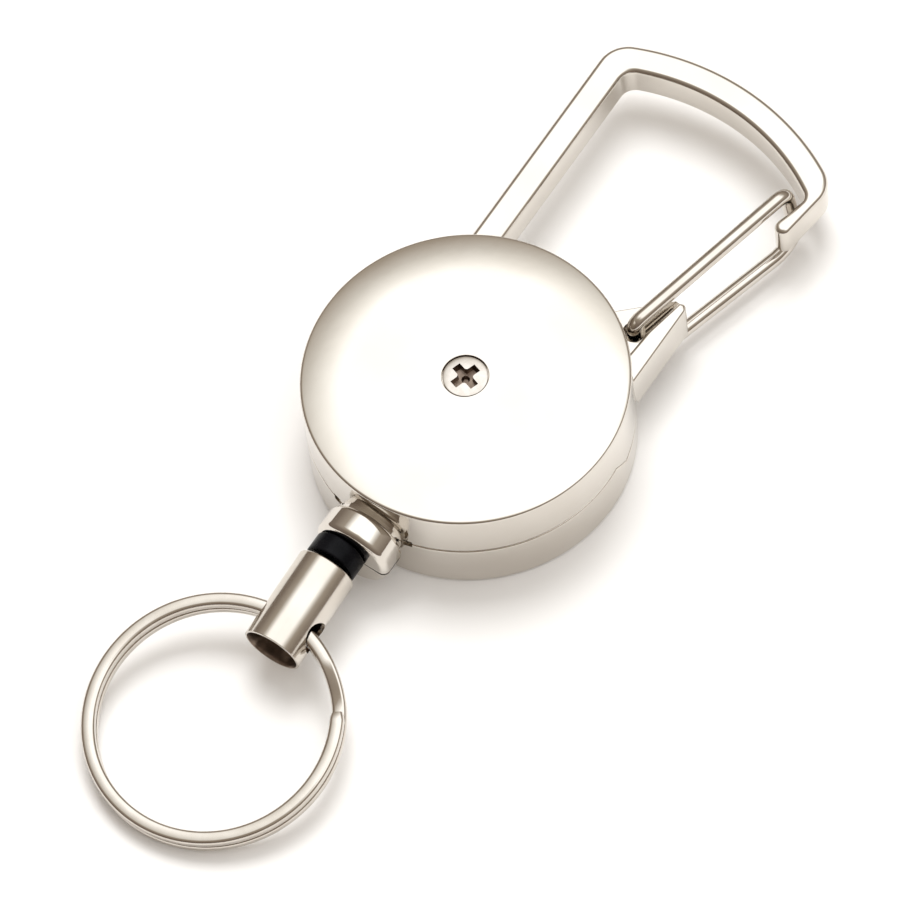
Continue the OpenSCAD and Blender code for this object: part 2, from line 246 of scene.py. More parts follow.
def sweep(name: str, path: Sequence[Vector], section: Sequence[Point2], start: Vector) -> bpy.types.Object:
    """Sweeps a closed section along a path without twisting it.

    Args:
        name: name of the object.
        path: the points to follow.
        section: the section's points, across and up.
        start: the direction that counts as across at the start.

    Returns:
        The swept object, capped at both ends.
    """
    bm = bmesh.new()
    across = start
    rings = []
    for i, here in enumerate(path):
        along = (path[min(i + 1, len(path) - 1)] - path[max(i - 1, 0)]).normalized()
        across = (across - along * across.dot(along)).normalized()
        up = along.cross(across)
        rings.append([bm.verts.new(here + across * a + up * b) for a, b in section])
    bridge(bm, rings)
    return from_bmesh(name, bm)


def rounded_path(corners: Sequence[Vector], reach: float, steps: int, spacing: float) -> list[Vector]:
    """Rounds a path's corners and fills its straights with points.

    Args:
        corners: the path's corners.
        reach: how far from a corner its curve starts.
        steps: segments in each curve.
        spacing: the longest step along a straight.

    Returns:
        The path's points.
    """
    points = [corners[0]]
    for before, here, after in zip(corners, corners[1:], corners[2:]):
        enter = here + (before - here).normalized() * reach
        leave = here + (after - here).normalized() * reach
        for k in range(steps + 1):
            s = k / steps
            points.append((1 - s) ** 2 * enter + 2 * s * (1 - s) * here + s * s * leave)
    points.append(corners[-1])
    filled = [points[0]]
    for a, b in zip(points, points[1:]):
        pieces = max(1, math.ceil((b - a).length / spacing))
        filled += [a.lerp(b, k / pieces) for k in range(1, pieces + 1)]
    return filled


def circle(radius: float, count: int) -> list[Point2]:
    """A round section of the given radius and number of points."""
    return [(radius * math.cos(math.tau * k / count), radius * math.sin(math.tau * k / count))
            for k in range(count)]


def combine(target: bpy.types.Object, others: Iterable[bpy.types.Object], how: str) -> bpy.types.Object:
    """Adds objects to a target, or cuts them out of it.

    Args:
        target: the object that stays.
        others: the objects that are used up.
        how: UNION or DIFFERENCE.

    Returns:
        The target, with its new mesh.
    """
    for other in others:
        step = target.modifiers.new("combine", "BOOLEAN")
        step.operation, step.solver, step.object = how, "MANIFOLD", other
        bake(target)
        bpy.data.objects.remove(other)
    return target


def bake(obj: bpy.types.Object) -> bpy.types.Object:
    """Applies an object's modifiers by giving it the evaluated mesh."""
    graph = bpy.context.evaluated_depsgraph_get()
    mesh = bpy.data.meshes.new_from_object(obj.evaluated_get(graph))
    obj.modifiers.clear()
    obj.data = mesh
    return obj


def smooth(obj: bpy.types.Object, angle: float = 32) -> bpy.types.Object:
    """Shades an object smooth, sharp over an angle, with its large faces kept flat.

    Args:
        obj: the object.
        angle: edges sharper than this many degrees stay sharp.

    Returns:
        The object.
    """
    mesh = obj.data
    mesh.polygons.foreach_set("use_smooth", [True] * len(mesh.polygons))
    mesh.set_sharp_from_angle(angle=math.radians(angle))
    weighted = obj.modifiers.new("flat faces", "WEIGHTED_NORMAL")
    weighted.keep_sharp = True
    weighted.weight = 100
    return bake(obj)


# ---------------------------------------------------------------- finishes


def math_node(tree: bpy.types.NodeTree, operation: str, *values: object) -> bpy.types.NodeSocket:
    """Adds a math node to a tree.

    Args:
        tree: the node tree.
        operation: what the node does.
        values: its inputs, each a socket or a number.

    Returns:
        The node's result.
    """
    node = tree.nodes.new("ShaderNodeMath")
    node.operation = operation
    for place, value in zip(node.inputs, values):
        if isinstance(value, bpy.types.NodeSocket):
            tree.links.new(value, place)
        else:
            place.default_value = value
    return node.outputs[0]


@dataclass(frozen=True)
class Finish:
    """A finish whose tone and gloss wander over the surface.

    Attributes:
        name: name of the material.
        colour: the main colour.
        other: the colour that it wanders to.
        rough: lowest and highest roughness.
        metal: how metallic it is.
        grain: size of the wandering, in metres.
        bump: height of the fine relief, in metres.
        bump_grain: size of the fine relief, in metres.
        stretch: how much finer the relief is along X, Y and Z.
        specular: specular level of a finish that isn't metal.
    """

    name: str
    colour: tuple[float, float, float]
    other: tuple[float, float, float]
    rough: tuple[float, float]
    metal: float = 1.0
    grain: float = 4 * MM
    bump: float = 0.0
    bump_grain: float = 0.3 * MM
    stretch: tuple[float, float, float] = (1, 1, 1)
    specular: float = 0.5

    def material(self) -> bpy.types.Material:
        """Builds the material, or finds it if it is there already.

        Returns:
            The material.
        """
        found = bpy.data.materials.get(self.name)
        if found:
            return found
        material = bpy.data.materials.new(self.name)
        material.use_nodes = True
        tree = material.node_tree
        shader = tree.nodes["Principled BSDF"]
        shader.inputs["Metallic"].default_value = self.metal
        shader.inputs["Specular IOR Level"].default_value = self.specular
        place = tree.nodes.new("ShaderNodeTexCoord").outputs["Object"]
        tone = self.noise(tree, place, self.grain, 3)
        self.ramp(tree, tone, self.colour, self.other, shader.inputs["Base Color"])
        wear = self.noise(tree, place, self.grain * 0.37, 4)
        self.spread(tree, wear, self.rough, shader.inputs["Roughness"])
        if self.bump > 0:
            mapping = tree.nodes.new("ShaderNodeMapping")
            mapping.inputs["Scale"].default_value = self.stretch
            tree.links.new(place, mapping.inputs["Vector"])
            relief = self.noise(tree, mapping.outputs["Vector"], self.bump_grain, 2)
            bump = tree.nodes.new("ShaderNodeBump")
            bump.inputs["Distance"].default_value = self.bump
            tree.links.new(relief, bump.inputs["Height"])
            tree.links.new(bump.outputs["Normal"], shader.inputs["Normal"])
        return material

    @staticmethod
    def noise(tree: bpy.types.NodeTree, place: bpy.types.NodeSocket, grain: float,
              detail: float) -> bpy.types.NodeSocket:
        """Adds noise of a given grain.

        Args:
            tree: the node tree.
            place: the coordinates to read.
            grain: size of the noise, in metres.
            detail: how many finer layers it has.

        Returns:
            The noise's value.
        """
        node = tree.nodes.new("ShaderNodeTexNoise")
        node.inputs["Scale"].default_value = 1 / grain
        node.inputs["Detail"].default_value = detail
        tree.links.new(place, node.inputs["Vector"])
        return node.outputs["Fac"]

    @staticmethod
    def ramp(tree: bpy.types.NodeTree, value: bpy.types.NodeSocket, low: Sequence[float],
             high: Sequence[float], target: bpy.types.NodeSocket) -> None:
        """Blends two colours by a value.

        Args:
            tree: the node tree.
            value: the value to follow.
            low: colour where the value is low.
            high: colour where it is high.
            target: the socket that takes the colour.
        """
        node = tree.nodes.new("ShaderNodeValToRGB")
        node.color_ramp.elements[0].position, node.color_ramp.elements[1].position = 0.35, 0.65
        node.color_ramp.elements[0].color = (*low, 1)
        node.color_ramp.elements[1].color = (*high, 1)
        tree.links.new(value, node.inputs["Fac"])
        tree.links.new(node.outputs["Color"], target)

    @staticmethod
    def spread(tree: bpy.types.NodeTree, value: bpy.types.NodeSocket, limits: tuple[float, float],
               target: bpy.types.NodeSocket) -> None:
        """Spreads a noise value between two limits.

        Args:
            tree: the node tree.
            value: the noise value.
            limits: the lowest and highest result.
            target: the socket that takes it.
        """
        node = tree.nodes.new("ShaderNodeMapRange")
        node.inputs["From Min"].default_value, node.inputs["From Max"].default_value = 0.3, 0.7
        node.inputs["To Min"].default_value, node.inputs["To Max"].default_value = limits
        tree.links.new(value, node.inputs["Value"])
        tree.links.new(node.outputs["Result"], target)


class Look(Enum):
    """The finishes of this reel."""

    CASE = Finish("polished_nickel", (0.685, 0.65, 0.60), (0.65, 0.61, 0.555), (0.05, 0.09),
                  grain=9 * MM, bump=0.004 * MM, bump_grain=1.6 * MM)
    WIRE = Finish("drawn_nickel", (0.66, 0.62, 0.57), (0.60, 0.555, 0.50), (0.06, 0.11),
                  grain=3 * MM, bump=0.002 * MM, bump_grain=0.7 * MM)
    TUBE = Finish("tube_nickel", (0.66, 0.62, 0.565), (0.61, 0.565, 0.505), (0.13, 0.2),
                  grain=5 * MM, bump=0.0012 * MM, bump_grain=0.25 * MM, stretch=(6, 1, 6))
    SCREW = Finish("screw_nickel", (0.66, 0.62, 0.58), (0.56, 0.52, 0.47), (0.08, 0.16),
                   grain=1.2 * MM, bump=0.002 * MM, bump_grain=0.3 * MM)
    # Painted shade: a dark brown nickel laid into the screw's cross recess and the sleeve's bore, where
    # shade falls.
    HOLLOW_SHADE = Finish("recess_painted_shade", (0.30, 0.235, 0.19), (0.19, 0.145, 0.115), (0.28, 0.4),
                  grain=0.8 * MM, bump=0.004 * MM, bump_grain=0.2 * MM)
    RUBBER = Finish("black_rubber", (0.003, 0.0032, 0.0042), (0.006, 0.006, 0.0075), (0.22, 0.3),
                    metal=0, grain=1.5 * MM, bump=0.003 * MM, bump_grain=0.16 * MM, specular=0.06)
    SPOOL = Finish("dark_acetal", (0.028, 0.028, 0.031), (0.045, 0.045, 0.05), (0.38, 0.5),
                   metal=0, grain=3 * MM, bump=0.004 * MM)
    SLIDE = Finish("natural_acetal", (0.80, 0.785, 0.73), (0.74, 0.725, 0.66), (0.32, 0.45),
                   metal=0, grain=2 * MM, bump=0.003 * MM)
    SPRING = Finish("blued_strip", (0.17, 0.2, 0.27), (0.25, 0.25, 0.28), (0.2, 0.32),
                    grain=2 * MM, bump=0.002 * MM, stretch=(1, 1, 8))
    ROPE = Finish("steel_rope", (0.52, 0.52, 0.52), (0.36, 0.355, 0.35), (0.24, 0.38),
                  grain=0.5 * MM, bump=0.01 * MM, bump_grain=0.14 * MM)
    CRIMP = Finish("pressed_copper", (0.72, 0.42, 0.25), (0.60, 0.34, 0.2), (0.22, 0.36),
                   grain=1 * MM, bump=0.004 * MM)

    def dress(self, obj: bpy.types.Object) -> None:
        """Gives an object this finish in all its material slots."""
        obj.data.materials.clear()
        obj.data.materials.append(self.value.material())

    def dress_node(self, node: str) -> None:
        """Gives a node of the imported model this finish, with its shape left as it is."""
        for place in frame["nodes"][node].material_slots:
            place.material = self.value.material()


def settle(obj: bpy.types.Object, node: str, body: str, look: Look) -> None:
    """Hands a finished piece over: its finish, body and node.

    Args:
        obj: the piece.
        node: the node that it stands for.
        body: the body that it moves with.
        look: its finish.
    """
    look.dress(obj)
    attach(obj, body)
    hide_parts(node)
    LOG.info("%s: %d faces on %s", obj.name, len(obj.data.polygons), body)


def darken(obj: bpy.types.Object, inside: Callable[[Vector], bool]) -> None:
    """Paints shade into a hollow of a finished piece: its faces there get the dark brown painted-shade
    material.

    Args:
        obj: the piece.
        inside: tells whether a point is in the hollow.
    """
    # Painted shade: a second slot with the dark brown shade material for the faces in the hollow.
    obj.data.materials.append(Look.HOLLOW_SHADE.value.material())
    for face in obj.data.polygons:
        if inside(face.center):
            face.material_index = 1


# ---------------------------------------------------------------- case


@dataclass
class Exit:
    """The cord's way out of the case, read from the exit bush.

    Attributes:
        across: sideways place of the cord.
        height: its height.
        front: place in Y of the collar's outer face.
        bore_r: radius of the collar's bore.
    """

    across: float = field(init=False)
    height: float = field(init=False)
    front: float = field(init=False)
    bore_r: float = 1.83 * MM

    def __post_init__(self) -> None:
        """Reads the bush's box."""
        low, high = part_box("exit_bush")
        self.across = (low[0] + high[0]) / 2
        self.height = (low[2] + high[2]) / 2
        self.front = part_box("rear_case")[0][1]

    def place(self) -> Matrix:
        """The frame whose +Z runs outwards along the cord, with its own zero at the case's axis."""
        turn = Matrix.Rotation(math.radians(90), 4, "X")
        return Matrix.Translation((self.across, 0, self.height)) @ turn


@dataclass
class Case:
    """The two shells of the case, with the collar that they share.

    Attributes:
        grow: how far the shells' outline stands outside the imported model's.
        wall: thickness of the side wall.
        face: thickness of the front and back faces.
        crown_from: radius at which the front face starts to fall away.
        crown: slope of the front face at its rim, in degrees.
        edge: radius of the front face's edge.
        back_edge: radius of the back face's edge.
        lip: radius of the edges along the seam.
        seam: width of the seam.
        ramp: the two places in Y between which the seam drops to the frame.
        collar_r: radius of the collar.
        collar_edge: radius of the collar's outer edge.
        collar_back: radius of its edge towards the case.
        collar_place: how far the collar's centre is from the cord, sideways and upwards.
        neck: radius of the neck behind the collar, and how far out it ends.
        split_turn: how far under its middle the collar is split, in degrees.
        split_share: width of half the collar's split, as a share of the seam's.
        notch: width and height of the notches where the seam meets the collar.
        notch_reach: how far each notch goes into the wall and out from it.
        boss: radius of the boss round the screw, and of the hole through it.
        seat: radius and depth of the seat for the screw's head.
        post: radius of the rear shell's post, and of the hole in it.
        post_hole: depth of the hole in the post.
        flat: radius at which the flat faces are divided.
        steps: columns round the case.
    """

    grow: float = 0.08 * MM
    wall: float = 1.2 * MM
    face: float = 1.2 * MM
    crown_from: float = 11.4 * MM
    crown: float = 9.5
    edge: float = 0.3 * MM
    back_edge: float = 0.5 * MM
    lip: float = 0.18 * MM
    seam: float = 0.17 * MM
    ramp: tuple[float, float] = (1.4 * MM, 3.6 * MM)
    collar_r: float = 4.1 * MM
    collar_edge: float = 0.75 * MM
    collar_back: float = 0.5 * MM
    collar_place: tuple[float, float] = (0.9 * MM, -0.5 * MM)
    neck: tuple[float, float] = (3.5 * MM, 0.4 * MM)
    split_turn: float = 9
    split_share: float = 0.8
    notch: tuple[float, float] = (0.9 * MM, 1.0 * MM)
    notch_reach: tuple[float, float] = (0.55 * MM, 1.2 * MM)
    boss: tuple[float, float] = (3.4 * MM, 1.3 * MM)
    seat: tuple[float, float] = (2.3 * MM, 1.0 * MM)
    post: tuple[float, float] = (2.2 * MM, 1.17 * MM)
    post_hole: float = 7 * MM
    flat: float = 4 * MM
    steps: int = 200

    def __post_init__(self) -> None:
        """Reads the case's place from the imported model."""
        low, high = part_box("rear_case")
        self.radius: float = high[0] + self.grow
        self.back: float = low[2]
        self.front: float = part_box("front_case")[1][2]
        self.split: float = (self.back + self.front) / 2
        self.step: float = self.back + 4 * MM
        self.post_top: float = high[2]
        self.exit = Exit()

    def seam_at(self, angle: float) -> float:
        """Height of the seam at an angle round the case.

        Args:
            angle: the angle, in radians.

        Returns:
            The height.
        """
        along = (self.radius * math.sin(angle) - self.ramp[0]) / (self.ramp[1] - self.ramp[0])
        return self.split + (self.step - self.split) * min(1.0, max(0.0, along))

    def angles(self) -> list[float]:
        """Angles of the shells' columns, with the ends of the seam's ramps among them."""
        ramps = [math.asin(y / self.radius) for y in self.ramp]
        return full_turn(self.steps, ramps + [math.pi - a for a in ramps])

    def front_section(self, angle: float) -> Profile:
        """Section of the front shell at an angle.

        Args:
            angle: the angle, in radians.

        Returns:
            The section's radius and height points.
        """
        seam = self.seam_at(angle) + self.seam / 2
        inner, top = self.radius - self.wall, self.front
        under = top - self.face
        reach = self.radius - self.edge - self.crown_from
        fall = reach * math.tan(math.radians(self.crown)) / 2
        crown = [(self.crown_from + reach * s, top - fall * s * s) for s in (i / 18 for i in range(19))]
        rim = arc((self.radius - self.edge, top - fall - self.edge), self.edge, 90 - self.crown, 0, 7)
        lip = arc((self.radius - self.lip, seam + self.lip), self.lip, 0, -90, 4)
        boss, hole = self.boss
        seat, ledge = self.seat[0], top - self.seat[1]
        return [(inner, seam), (inner, under), (boss, under), (boss, self.post_top),
                (hole, self.post_top), (hole, ledge), (seat, ledge), (seat, top - 0.05 * MM),
                (seat + 0.04 * MM, top), (self.flat, top), *crown, *rim[1:], *lip]

    def rear_section(self, angle: float) -> Profile:
        """Section of the rear shell at an angle.

        Args:
            angle: the angle, in radians.

        Returns:
            The section's radius and height points.
        """
        seam = self.seam_at(angle) - self.seam / 2
        inner, floor = self.radius - self.wall, self.back + self.face
        e = self.back_edge
        rim = arc((self.radius - e, self.back + e), e, 0, -90, 8)
        lip = arc((self.radius - self.lip, seam - self.lip), self.lip, 90, 0, 4)
        post, hole = self.post
        bottom = self.post_top - self.post_hole
        return [(0, self.back), (0, bottom), (hole, bottom), (hole, self.post_top),
                (post, self.post_top), (post, floor), (inner, floor), (inner, seam),
                *lip, *rim, (self.flat, self.back)]

    def collar(self, side: Side) -> bpy.types.Object:
        """One part of the collar, with the neck that joins it to its shell.

        Args:
            side: the shell that it belongs to.

        Returns:
            The part of the collar.
        """
        reach, root = -self.exit.front, self.radius - 1.15 * MM
        neck, waist = self.neck[0], self.radius + self.neck[1]
        e, b = self.collar_edge, self.collar_back
        section = [(0, root), (neck, root), (neck, waist),
                   *arc((self.collar_r - b, waist + b), b, -90, 0, 8),
                   *arc((self.collar_r - e, reach - e), e, 0, 90, 10), (0, reach)]
        under = math.radians(self.split_turn)
        gap = self.split_share * self.seam / self.collar_r
        start, end = (-under, math.pi + under) if side is Side.FRONT else (math.pi + under, math.tau - under)
        start, end = start + gap, end - gap
        turns = [start + (end - start) * i / 72 for i in range(73)]
        aside, above = self.collar_place
        place = Matrix.Translation((aside, 0, above)) @ self.exit.place()
        return lathe("collar", lambda _: section, place, turns, closed=False)

    def bush_cutter(self) -> bpy.types.Object:
        """The room for the exit bush and its flange."""
        bore, rim = self.exit.bore_r, self.exit.bore_r + 0.5 * MM
        inside, outside = self.radius - 3 * MM, self.radius + 9 * MM
        near, far = self.radius + 0.37 * MM, self.radius + 0.93 * MM
        section = [(0, inside), (bore, inside), (bore, near), (rim, near),
                   (rim, far), (bore, far), (bore, outside), (0, outside)]
        return lathe("bush_cutter", lambda _: section, self.exit.place(), full_turn(48))

    def notch_cutter(self, way: int) -> bpy.types.Object:
        """The small notch in the seam beside the collar.

        Args:
            way: -1 for the left notch, 1 for the right one.

        Returns:
            The cutter.
        """
        width, height = self.notch
        near = self.exit.across + self.collar_place[0] + way * (self.collar_r - 0.3 * MM)
        far = near + way * width
        centre = -math.sqrt(self.radius ** 2 - ((near + far) / 2) ** 2)
        inwards, outwards = centre + self.notch_reach[0], centre - self.notch_reach[1]
        outline = [(near, outwards), (far, outwards), (far, inwards), (near, inwards)]
        low, high = self.split - height / 2, self.split + height / 2
        return prism("notch", outline, low, high, SHARP, SHARP, 1)


@dataclass
class Carabiner:
    """The cast frame with its nose, and the stub that holds the gate.

    Attributes:
        case: the case that the frame is cast with.
        band: outer radius of the top band.
        width: width of the frame's bar.
        thick: thickness of the bar.
        centre_x: sideways place of the band's centre.
        arm: left outer edge of the frame.
        round_top: radius of the frame's upper edges.
        round_low: radius of its lower edges.
        corner_left: radius of the band's left corner.
        corner_right: radius of its right corner.
        corner_inside: radius of the left corner's inner side.
        corner_turn: where the right corner starts on the band, in degrees.
        pocket_turn: where the pocket for the gate starts on the band, in degrees.
        lean: how far the nose leans to the left, in degrees.
        nose: length of the nose's straight side.
        tip: radius of the nose's tip.
        pocket: radius of the pocket.
        foot: how far the frame's feet reach into the case.
        stub_turn: where the stub stands round the case, in degrees.
        ledge_drop: how far the stub's ledge is under the frame's top.
        stub_drop: how far the stub goes down under the frame.
    """

    case: Case
    band: float = 26.7 * MM
    width: float = 2.95 * MM
    thick: float = 4 * MM
    centre_x: float = 1.9 * MM
    arm: float = 9.65 * MM
    round_top: float = 0.55 * MM
    round_low: float = 0.55 * MM
    corner_left: float = 3.3 * MM
    corner_right: float = 3.1 * MM
    corner_inside: float = 1.6 * MM
    corner_turn: float = 58
    pocket_turn: float = 55
    lean: float = 8
    nose: float = 4.6 * MM
    tip: float = 0.85 * MM
    pocket: float = 1.1 * MM
    foot: float = 0.6 * MM
    stub_turn: float = 56.5
    ledge_drop: float = 0.8 * MM
    stub_drop: float = 1 * MM

    def __post_init__(self) -> None:
        """Reads the frame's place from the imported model."""
        self.low: float = self.case.step
        self.high: float = self.low + self.thick
        self.centre: Point2 = (self.centre_x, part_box("front_case")[1][1] - self.band)
        turn = math.radians(self.stub_turn)
        self.stub: Point2 = (self.case.radius * math.cos(turn), self.case.radius * math.sin(turn))
        self.ledge: float = self.high - self.ledge_drop
        self.stub_low: float = self.low - self.stub_drop

    def corner(self, radius: float, rim: float, edge: float) -> tuple[Point2, float]:
        """The circle that rounds the left corner of the band.

        Args:
            radius: radius of the corner.
            rim: radius of the band's edge that it runs into.
            edge: place in X of the arm's edge that it runs into.

        Returns:
            Its centre, and the angle at which it leaves the band, in degrees.
        """
        across = edge + radius
        up = self.centre[1] + math.sqrt((rim - radius) ** 2 - (self.centre[0] - across) ** 2)
        return (across, up), math.degrees(math.atan2(up - self.centre[1], across - self.centre[0]))

    def outline(self) -> list[Point2]:
        """Outline of the frame from the left arm over the top to the nose.

        Returns:
            The outline's points.
        """
        cx, cy = self.centre
        inner = self.band - self.width
        left, left_turn = self.corner(self.corner_left, self.band, -self.arm)
        inside, inside_turn = self.corner(self.corner_inside, inner, self.width - self.arm)
        turn, lean = math.radians(self.corner_turn), math.radians(self.lean)
        right = (cx + (self.band - self.corner_right) * math.cos(turn),
                 cy + (self.band - self.corner_right) * math.sin(turn))
        drop = self.corner_right - self.tip
        nose = (right[0] + drop * math.cos(lean) - self.nose * math.sin(lean),
                right[1] - drop * math.sin(lean) - self.nose * math.cos(lean))
        pocket_turn = math.radians(self.pocket_turn)
        pocket = (cx + (inner - self.pocket) * math.cos(pocket_turn),
                  cy + (inner - self.pocket) * math.sin(pocket_turn))
        base = self.case.radius - self.foot
        feet = [(x, math.sqrt(base ** 2 - x * x)) for x in
                (self.width - self.arm, self.width / 2 - self.arm, -self.arm)]
        return [*feet[2:],
                *arc(left, self.corner_left, 180, left_turn, 14),
                *arc(self.centre, self.band, left_turn, self.corner_turn, 60)[1:],
                *arc(right, self.corner_right, self.corner_turn, -self.lean, 16)[1:],
                *arc(nose, self.tip, -self.lean, -180, 18),
                *self.throat(nose, pocket),
                *arc(pocket, self.pocket, -4, self.pocket_turn, 10),
                *arc(self.centre, inner, self.pocket_turn, inside_turn, 56)[1:],
                *arc(inside, self.corner_inside, inside_turn, 180, 12)[1:],
                *feet[:2]]

    def throat(self, nose: Point2, pocket: Point2) -> list[Point2]:
        """Points of the soft curve between the nose's tip and the gate's pocket.

        Args:
            nose: centre of the nose's tip.
            pocket: centre of the pocket.

        Returns:
            The points between the two arcs.
        """
        start = Vector((nose[0] - self.tip, nose[1]))
        waist = Vector((nose[0] - 0.35 * MM, nose[1] + 1.4 * MM))
        end = Vector((pocket[0] + self.pocket, pocket[1] - 0.08 * MM))
        first = start + Vector((0, 0.55 * MM))
        points = []
        for i in range(1, 9):
            s = i / 9
            curve = ((1 - s) ** 3 * start + 3 * s * (1 - s) ** 2 * first
                     + 3 * s * s * (1 - s) * waist + s ** 3 * end)
            points.append((curve.x, curve.y))
        return points

    def bar(self) -> bpy.types.Object:
        """The frame's bar with its nose."""
        return prism("bar", self.outline(), self.low, self.high, self.round_low, self.round_top)

    def stub_outline(self, ledge: bool) -> list[Point2]:
        """Outline of the stub.

        Args:
            ledge: whether it takes in the ledge under the gate's upper leg.

        Returns:
            The outline's points.
        """
        sx, sy = self.stub
        tip = arc((sx + 3.25 * MM, sy + 5.3 * MM), 0.8 * MM, 90, 0, 8)
        base = self.case.radius - self.foot
        left, inner, middle, right = ((x, math.sqrt(base ** 2 - x * x)) for x in
                                      (sx - 3.4 * MM, sx + 1.9 * MM, sx, sx + 4.05 * MM))
        if ledge:
            return [left, (sx + 2.45 * MM, sy + 6.25 * MM), *tip, right, middle]
        return [inner, (sx + 2.2 * MM, sy + 1.7 * MM), (sx + 3.05 * MM, sy + 5.9 * MM), *tip[2:], right]

    def stub_parts(self) -> list[bpy.types.Object]:
        """The stub's body up to the ledge, and the part that stands above the ledge."""
        body = prism("stub", self.stub_outline(True), self.stub_low, self.ledge, 0.35 * MM, 0.12 * MM)
        top = prism("stub_top", self.stub_outline(False), self.ledge - 0.5 * MM, self.high, SHARP, 0.35 * MM)
        room = self.case.radius + self.case.seam
        section = [(0, self.low - 4 * MM), (room, self.low - 4 * MM), (room, self.low), (0, self.low)]
        clear = lathe("clear", lambda _: section, Matrix.Identity(4), full_turn(120))
        return [combine(body, [clear], "DIFFERENCE"), top]

    def pin_cutters(self, gate: "Gate") -> list[bpy.types.Object]:
        """The two blind holes that the gate's pins turn in.

        Args:
            gate: the gate that they fit.

        Returns:
            The two cutters.
        """
        wide = gate.wire + 0.4 * MM
        spans = [(gate.upper_pin, gate.high - gate.pin - 0.3 * MM, self.high + 3 * MM),
                 (gate.lower_pin, self.stub_low - 2 * MM, gate.low + gate.pin + 0.3 * MM)]
        return [lathe("pin_hole", lambda _, a=low, b=high: [(0, a), (wide, a), (wide, b), (0, b)],
                      Matrix.Translation((spot[0], spot[1], 0)), full_turn(40))
                for spot, low, high in spans]


@dataclass
class Gate:
    """The gate, one spring wire bent into two legs.

    Attributes:
        frame: the carabiner that it closes.
        wire: radius of the wire.
        pin: how far each pin reaches into the stub.
        bend: how far from a corner its bend starts.
        tip: the upper leg's end, seen from the band's centre.
    """

    frame: Carabiner
    wire: float = 0.75 * MM
    pin: float = 2.6 * MM
    bend: float = 1.25 * MM
    tip: tuple[float, float] = (12.6 * MM, 18.1 * MM)

    def __post_init__(self) -> None:
        """Works out the wire's places from the stub and the band."""
        sx, sy = self.frame.stub
        self.high: float = self.frame.ledge + self.wire + 0.65 * MM
        self.low: float = self.frame.stub_low - self.wire - 0.15 * MM
        self.upper_pin: Point2 = (sx + 0.8 * MM, sy + 1.2 * MM)
        self.lower_pin: Point2 = (sx + 1.57 * MM, sy + 1.06 * MM)

    def build(self) -> None:
        """Sweeps the wire from pin to pin and hands it over."""
        tip = Vector(self.frame.centre) + Vector(self.tip)
        knee = tip + Vector((1.05 * MM, -2.9 * MM))
        corners = [Vector((*self.upper_pin, self.high - self.pin)), Vector((*self.upper_pin, self.high)),
                   Vector((*tip, self.high)), Vector((tip.x + 0.9 * MM, tip.y, self.low)),
                   Vector((*knee, self.low)),
                   Vector((*self.lower_pin, self.low)), Vector((*self.lower_pin, self.low + self.pin))]
        path = rounded_path(corners, self.bend, 10, 0.6 * MM)
        wire = sweep("gate_wire_piece", path, circle(self.wire, 28), Vector((1, 0, 0)))
        settle(smooth(wire, 50), "gate_wire", "gate", Look.WIRE)


def build_case(case: Case, carabiner: Carabiner, gate: Gate) -> None:
    """Builds both shells, with the frame, the stub and the collar cast on.

    Args:
        case: the case.
        carabiner: the frame cast on its front shell.
        gate: the gate whose pins the stub takes.
    """
    upright = Matrix.Identity(4)
    front = lathe("front_case_piece", case.front_section, upright, case.angles())
    combine(front, [case.collar(Side.FRONT), carabiner.bar(), *carabiner.stub_parts()], "UNION")
    combine(front, [case.bush_cutter(), *carabiner.pin_cutters(gate),
                    case.notch_cutter(-1), case.notch_cutter(1)], "DIFFERENCE")
    settle(smooth(front), "front_case", "case", Look.CASE)
    rear = lathe("rear_case_piece", case.rear_section, upright, case.angles())
    combine(rear, [case.collar(Side.REAR)], "UNION")
    combine(rear, [case.bush_cutter(), case.notch_cutter(-1), case.notch_cutter(1)], "DIFFERENCE")
    settle(smooth(rear), "rear_case", "case", Look.CASE)


